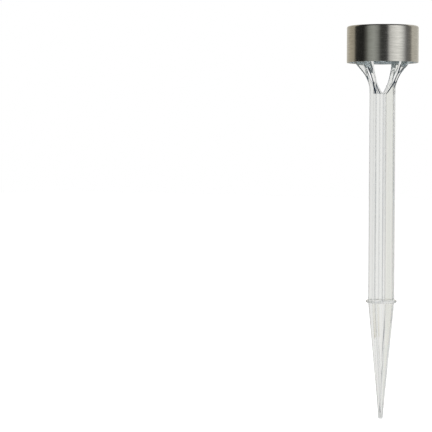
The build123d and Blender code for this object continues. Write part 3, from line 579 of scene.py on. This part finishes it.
def roundHollow(piece, profile, width, slack=0.03):   # the hard edges that the hollow leaves on the arms, rounded and given painted shade
    pick(piece)
    enterEdit()
    bpy.ops.mesh.select_mode(type="EDGE")
    settleOrder()
    bpy.ops.mesh.select_all(action="DESELECT")
    bpy.ops.mesh.edges_select_sharp(sharpness=math.radians(sharpAngle))
    leaveEdit()
    hard = {tuple(edge.vertices) for edge in piece.data.edges if edge.select}
    onHollow = {point.index for point in piece.data.vertices
                if abs(point.co.xy.length / mm - hollowReach(profile, point.co.z / mm)) < slack}
    enterEdit()
    bpy.ops.mesh.select_all(action="DESELECT")
    leaveEdit()
    for edge in piece.data.edges:
        edge.select = tuple(edge.vertices) in hard and onHollow.issuperset(edge.vertices)
    enterEdit()
    bpy.ops.mesh.remove_doubles(threshold=width * mm)   # leaves no edge shorter than the rounding
    # the rounded faces carry the hollow mark, the strongest painted shade, which draws dark lines along the hollow
    bpy.ops.mesh.bevel(offset=width * mm, segments=3, affect="EDGES", clamp_overlap=False, material=hollowMark)
    leaveEdit()
    for face in piece.data.polygons:   # only one side of each arm keeps the painted shade, and only in the open
        x, y, z = face.center / mm
        paintedShadeSide = x < 0 if abs(y) > abs(x) else y > 0
        if face.material_index == hollowMark and not paintedShadeSide or z > profile[-1][1]:
            face.material_index = surfaceMark


def markAll(piece, shades, mark):   # the mark is a material's number, so there is a material for each shade
    for shade in shades:
        piece.data.materials.append(nodeFinishes["clear_plastic"])
    for face in piece.data.polygons:
        face.material_index = mark


def keepEdgeShade(piece, shades, lowest):   # turns the marks into the painted edge shade attribute that the finish reads
    attribute = piece.data.attributes.new("edgeShade", "FLOAT", "FACE")
    for face in piece.data.polygons:
        if face.center.z > lowest * mm:   # the tip is too thin for painted edge shade
            attribute.data[face.index].value = shades[face.material_index]
        face.material_index = 0


def collarOutline(sizes):   # a ring with its outer edges cut off
    low, high, outer, bend = sizes["collarLow"], sizes["collarHigh"], sizes["collarReach"], sizes["collarRound"]
    inner = outer - sizes["collarWall"]
    return [(inner, low), (outer - bend, low), (outer, low + bend), (outer, high - bend), (outer - bend, high),
            (inner, high), (inner, low)]


def clearStake(sizes=stakeSizes):
    stations = flareStations(sizes)
    piece = crossStart(stations[0])
    piece.name = "clearStake"
    leaveEdit()
    markAll(piece, sizes["shades"], surfaceMark)
    enterEdit()
    for before, after in zip(stations, stations[1:]):
        liftStage(piece, before, after)
    roundArms(piece, sizes)
    bpy.ops.mesh.select_all(action="SELECT")
    bpy.ops.mesh.normals_make_consistent(inside=False)
    settleOrder()
    leaveEdit()
    profile = bowPoints((sizes["hollowFloor"], sizes["headLevel"] - sizes["hollowDepth"]),
                        (sizes["hollowMouth"], sizes["headLevel"]), sizes["hollowBend"], sizes["hollowSteps"])
    throat, top = sizes["hollowMouth"] + sizes["throatStep"], sizes["collarHigh"]
    cutter = profile + [(throat, top), (throat, top + sizes["throatOver"])]
    combine(piece, turnPiece("hollow", cutter, "capped", sizes["segments"]), "DIFFERENCE")
    combine(piece, turnPiece("collar", collarOutline(sizes), "closed", sizes["collarSegments"]), "UNION")
    bend, height, steps = sizes["flangeRound"], sizes["flangeHeight"], sizes["flangeSteps"]
    edge = sizes["flangeRadius"] - bend
    rim = arcPoints(edge, bend, bend, -90, 0, steps) + arcPoints(edge, height - bend, bend, 0, 90, steps)
    flange = turnPiece("flange", rim, "capped", sizes["segments"])
    # the whole flange gets a faint painted shade
    markAll(flange, sizes["shades"], flangeMark)
    combine(piece, flange, "UNION")
    roundHollow(piece, profile, sizes["hollowRound"])
    keepEdgeShade(piece, sizes["shades"], sizes["shadeLow"])
    smoothPiece(piece)
    finishPiece(piece, "stake", "clear_plastic", "stake")


clearStake()


# Steel cap

capSizes = {"radius": 27.5, "low": 185.0, "high": 213.0, "wall": 0.5, "shoulder": 1.5, "opening": 25.8,
            "lipRound": 0.2, "hem": 0.16, "rings": 8, "segments": 224}


def steelCap(sizes=capSizes):
    outer, wall, bend = sizes["radius"], sizes["wall"], sizes["shoulder"]
    low, high, opening = sizes["low"], sizes["high"], sizes["opening"]
    hem, lip = sizes["hem"], sizes["lipRound"]
    outline = [(outer - wall, low + hem)]
    outline += arcPoints(outer - wall + hem, low + hem, hem, 180, 270, 3)[1:]
    outline += arcPoints(outer - hem, low + hem, hem, -90, 0, 4)
    outline += [(outer, low + (high - bend - low) * k / sizes["rings"]) for k in range(1, sizes["rings"])]
    outline += arcPoints(outer - bend, high - bend, bend, 0, 90, 10)
    outline += arcPoints(opening + lip, high - lip, lip, 90, 180, 4)
    outline += [(opening, high - wall), (outer - bend, high - wall)]
    outline += arcPoints(outer - bend, high - bend, bend - wall, 90, 0, 8)[1:]
    outline += [(outer - wall, low + hem)]
    piece = turnPiece("steelCap", outline, "closed", sizes["segments"])
    smoothPiece(piece, 40)
    finishPiece(piece, "head", "steel", "steel_cap")


steelCap()


# Resin over the solar cells

resinSizes = {"radius": 22.6, "boardTop": 211.4, "sunk": 0.3, "edgeTop": 212.1, "crown": 213.3, "edgeRound": 0.5,
              "rings": 14, "segments": 160}


def resinCover(sizes=resinSizes):   # its underside lies in the board, so that it meets the cells everywhere
    radius, bend = sizes["radius"], sizes["edgeRound"]
    inner = radius - bend
    rise = sizes["crown"] - sizes["edgeTop"]
    crownBend = (radius ** 2 + rise ** 2) / (2 * rise)
    centre = sizes["crown"] - crownBend
    edgeLevel = centre + math.sqrt(crownBend ** 2 - inner ** 2)
    outline = [(radius, sizes["boardTop"] - sizes["sunk"])]
    outline += arcPoints(inner, edgeLevel - bend, bend, 0, 86, 7)
    for k in range(1, sizes["rings"]):
        ring = inner * (1 - k / sizes["rings"])
        outline.append((ring, centre + math.sqrt(crownBend ** 2 - ring ** 2)))
    outline.append((0, sizes["crown"]))
    piece = turnPiece("resinCover", outline, "pointed", sizes["segments"])
    smoothPiece(piece, 60)
    finishPiece(piece, "head", "clear_resin", "panel_dome")


resinCover()


# Lamp

lampSizes = {"radius": 2.5, "flange": 2.9, "flangeHeight": 1.0, "seat": 193.3, "tip": 185.6, "round": 0.15,
             "segments": 64}


def clearLamp(sizes=lampSizes):
    radius, flange, seat, bend = sizes["radius"], sizes["flange"], sizes["seat"], sizes["round"]
    top = seat + sizes["flangeHeight"]
    outline = arcPoints(flange - bend, top - bend, bend, 90, 0, 3)
    outline += [(flange, seat), (radius, seat)]
    outline += arcPoints(0, sizes["tip"] + radius, radius, 0, -84, 10)
    outline.append((0, sizes["tip"]))
    piece = turnPiece("clearLamp", outline, "pointed", sizes["segments"])
    smoothPiece(piece, 50)
    finishPiece(piece, "head", "lamp_epoxy", "led_lamp")


clearLamp()


# Housings and the switch knob, with their edges rounded as moulded ones are

roundings = {   # the new piece, its body, its edges' radius in millimetres and its slot
    "upper_housing": ("upperHousing", "head", 0.2, "black_plastic"),
    "base_housing": ("baseHousing", "head", 0.2, "grey_plastic"),
    "switch_knob": ("switchKnob", "switch", 0.12, "black_plastic")}
for nodeName, (pieceName, body, rounding, slot) in roundings.items():
    finishPiece(softenedCopy(nodeName, pieceName, rounding), body, slot, nodeName)


# Studio

white, black = (1, 1, 1, 1), (0, 0, 0, 1)
studioLook = {"floorLevel": -0.0925, "floorSize": 9.0, "floorColour": (0.86, 0.86, 0.86, 1),
              "paperColour": (0.88, 0.88, 0.88, 1), "paperScale": 400.0, "floorRoughness": 0.9, "floorLift": 0.48,
              "throughPlastic": 0.84, "ambient": 0.62}


def seenDirectly(tree):   # what the view and its reflections see, and what shows through clear plastic
    path = Signal(tree, tree.nodes.new("ShaderNodeLightPath").outputs["Is Camera Ray"])
    through = path.part("Is Transmission Ray")
    return path.math("MAXIMUM", path, (1 - through) * path.part("Is Glossy Ray")), through


def floorPlane(look=studioLook):
    selectNothing()
    bpy.ops.mesh.primitive_plane_add(size=look["floorSize"], location=(0, 0, look["floorLevel"]))
    floor = bpy.context.active_object
    floor.name = "floor"
    material, places = newMaterial("paleFloor")
    paper = places.noise(look["paperScale"], detail=3.0).between(0.2, 0.8)
    seen, through = seenDirectly(material.node_tree)
    setSurface(material, {
        "Base Color": paper.mix(look["floorColour"], look["paperColour"]), "Roughness": look["floorRoughness"],
        "Emission Color": seen.mix(black, white), "Emission Strength": look["floorLift"]})
    pale = places.node("ShaderNodeEmission", {}, {"Color": white, "Strength": look["throughPlastic"]})
    blendSurface(material, through, pale)   # no horizon shows inside the plastic
    floor.data.materials.append(material)


def whiteWorld(look=studioLook):
    world = bpy.data.worlds.new("studioWorld")
    world.use_nodes = True
    bpy.context.scene.world = world
    seen, through = seenDirectly(world.node_tree)
    background = world.node_tree.nodes["Background"]
    background.inputs["Color"].default_value = white
    strength = look["ambient"] * (seen + through).below(0.5) + seen + look["throughPlastic"] * through
    world.node_tree.links.new(strength.socket, background.inputs["Strength"])


lampLooks = {   # azimuth and height of each soft lamp, its distance and size in metres, and its brightness
    "keyLamp": (75.0, 38.0, 2.2, 1.6, 1.5),
    "fillLamp": (-40.0, 30.0, 2.4, 1.6, 0.7),
    "topLamp": (10.0, 84.0, 2.0, 1.8, 0.8)}


def softLamp(name, azimuth, height, distance, size, brightness):
    turn, lift = math.radians(azimuth), math.radians(height)
    away = Vector((math.sin(turn) * math.cos(lift), -math.cos(turn) * math.cos(lift), math.sin(lift)))
    selectNothing()
    bpy.ops.object.light_add(type="AREA", location=away * distance)
    lamp = bpy.context.active_object
    lamp.name = name
    lamp.rotation_euler = away.to_track_quat("Z", "Y").to_euler()
    lamp.data.size = size
    lamp.data.energy = brightness * math.pi * size ** 2
    lamp.visible_camera = False
    lamp.visible_glossy = False
    lamp.visible_transmission = False


viewAzimuth = 32.0   # degrees from the light's front to the camera
mirrorLook = {"distance": 0.5, "low": -0.09, "high": 0.7, "brightness": 1.12, "sheetSize": 1.1,
              "sheets": {"darkCeiling": (0.7, (0.03, 0.03, 0.03, 1)), "dimGround": (-0.0915, (0.55, 0.55, 0.53, 1))}}
mirrorStops = [   # what the steel mirrors: degrees right of the camera, and the colour there
    (-180, (0.60, 0.565, 0.49, 1)), (-150, (0.55, 0.52, 0.45, 1)), (-125, (0.46, 0.415, 0.32, 1)),
    (-102, (0.38, 0.345, 0.27, 1)), (-95, (0.022, 0.022, 0.02, 1)), (-62, (0.015, 0.015, 0.013, 1)),
    (-52, (0.11, 0.11, 0.095, 1)), (-44, (0.31, 0.32, 0.285, 1)), (-28, (0.40, 0.41, 0.37, 1)),
    (-16, (0.28, 0.285, 0.26, 1)), (-6, (0.045, 0.045, 0.041, 1)), (14, (0.053, 0.052, 0.05, 1)),
    (22, (0.62, 0.61, 0.575, 1)), (32, (0.82, 0.81, 0.765, 1)), (50, (1.0, 0.985, 0.93, 1)),
    (62, (0.80, 0.80, 0.755, 1)), (72, (0.44, 0.435, 0.42, 1)), (80, (0.15, 0.147, 0.14, 1)),
    (98, (0.175, 0.165, 0.145, 1)), (106, (0.56, 0.53, 0.455, 1)), (138, (0.55, 0.525, 0.46, 1)),
    (155, (0.65, 0.625, 0.56, 1)), (180, (0.65, 0.625, 0.56, 1))]


def glossyOnly(piece, material):   # seen in reflections and by nothing else
    piece.data.materials.append(material)
    piece.visible_camera = False
    piece.visible_diffuse = False
    piece.visible_transmission = False
    piece.visible_shadow = False


def glowing(material, colour, brightness=1.0):   # gives light and throws none back
    return setSurface(material, {"Base Color": black, "Roughness": 1.0, "Specular IOR Level": 0.0,
                                 "Emission Color": colour, "Emission Strength": brightness})


def mirrorRing(look=mirrorLook, stops=mirrorStops):   # a wall round the light, for its steel to mirror
    low, high = look["low"], look["high"]
    selectNothing()
    bpy.ops.mesh.primitive_cylinder_add(vertices=128, radius=look["distance"], depth=high - low,
                                        location=(0, 0, (low + high) / 2), end_fill_type="NOTHING")
    ring = bpy.context.active_object
    ring.name = "mirrorRing"
    material, places = newMaterial("mirrorRing")
    axes = places.turnedBy(viewAzimuth).axes()
    turn = places.math("ARCTAN2", axes.part("X"), 0 - axes.part("Y")).between(-math.pi, math.pi)
    shares = [((degrees + 180) / 360, colour) for degrees, colour in stops]
    ramp = turn.node("ShaderNodeValToRGB", {"stops": shares}, {"Fac": turn})
    glossyOnly(ring, glowing(material, ramp, look["brightness"]))


def mirrorSheets(look=mirrorLook):   # dim sheets over and under the light, so that its dark bands stay dark
    for name, (level, colour) in look["sheets"].items():
        selectNothing()
        bpy.ops.mesh.primitive_plane_add(size=look["sheetSize"], location=(0, 0, level))
        sheet = bpy.context.active_object
        sheet.name = name
        glossyOnly(sheet, glowing(newMaterial(name)[0], colour))


sideShadeLook = {"distance": 1.2, "low": -0.09, "high": 0.5, "middle": -50.0, "reach": 25.0,
                 "colour": (0.06, 0.08, 0.11, 1), "fade": 0.5}


def sideShade(look=sideShadeLook):   # soft painted shade beside the view, a dark sheet seen only through the clear plastic's edges
    middle = math.radians(viewAzimuth + look["middle"])
    halfWidth = look["distance"] * math.tan(math.radians(look["reach"]))
    level = (look["low"] + look["high"]) / 2
    away = Vector((math.sin(middle), -math.cos(middle), 0))
    selectNothing()
    bpy.ops.mesh.primitive_plane_add(size=2, location=away * look["distance"] + Vector((0, 0, level)),
                                     rotation=(math.pi / 2, 0, middle))
    shade = bpy.context.active_object
    shade.name = "sideShade"
    bpy.ops.transform.resize(value=(halfWidth, (look["high"] - look["low"]) / 2, 1), orient_type="LOCAL")
    material, places = newMaterial("sideShade")
    axes = places.axes()
    inX, inY = [(1 - axes.part(name).absolute()).between(0, look["fade"]) for name in ("X", "Y")]
    pale = studioLook["throughPlastic"]
    glossyOnly(shade, glowing(material, (inX * inY).mix((pale, pale, pale, 1), look["colour"])))
    shade.visible_glossy = False
    shade.visible_transmission = True


floorPlane()
whiteWorld()
for name, values in lampLooks.items():
    softLamp(name, *values)
mirrorRing()
mirrorSheets()
sideShade()
print("studio ready")


# Camera

cameraLook = {"distance": 1.3, "height": 0.122, "focal": 139.68, "sensor": 36.0, "pan": 5.65, "tilt": 2.445,
              "roll": 0.113, "clipStart": 0.01, "bounces": 48}


def placeCamera(look=cameraLook):
    turn = math.radians(viewAzimuth)
    away = Vector((math.sin(turn), -math.cos(turn), 0))
    bpy.ops.object.camera_add(location=away * look["distance"] + Vector((0, 0, look["height"])))
    camera = bpy.context.active_object
    camera.data.lens = look["focal"]
    camera.data.sensor_width = look["sensor"]
    camera.data.clip_start = look["clipStart"]
    pan = Matrix.Rotation(turn + math.radians(look["pan"]), 4, "Z")
    tilt = Matrix.Rotation(math.radians(90 - look["tilt"]), 4, "X")
    roll = Matrix.Rotation(math.radians(look["roll"]), 4, "Z")
    camera.rotation_euler = (pan @ tilt @ roll).to_euler()
    bpy.context.scene.camera = camera


placeCamera()
bpy.context.scene.view_settings.view_transform = "Standard"
for limit in ("max_bounces", "glossy_bounces", "transmission_bounces"):   # light runs far along the clear stake
    setattr(bpy.context.scene.cycles, limit, cameraLook["bounces"])
print("camera placed")

print("new pieces:", len(finished))
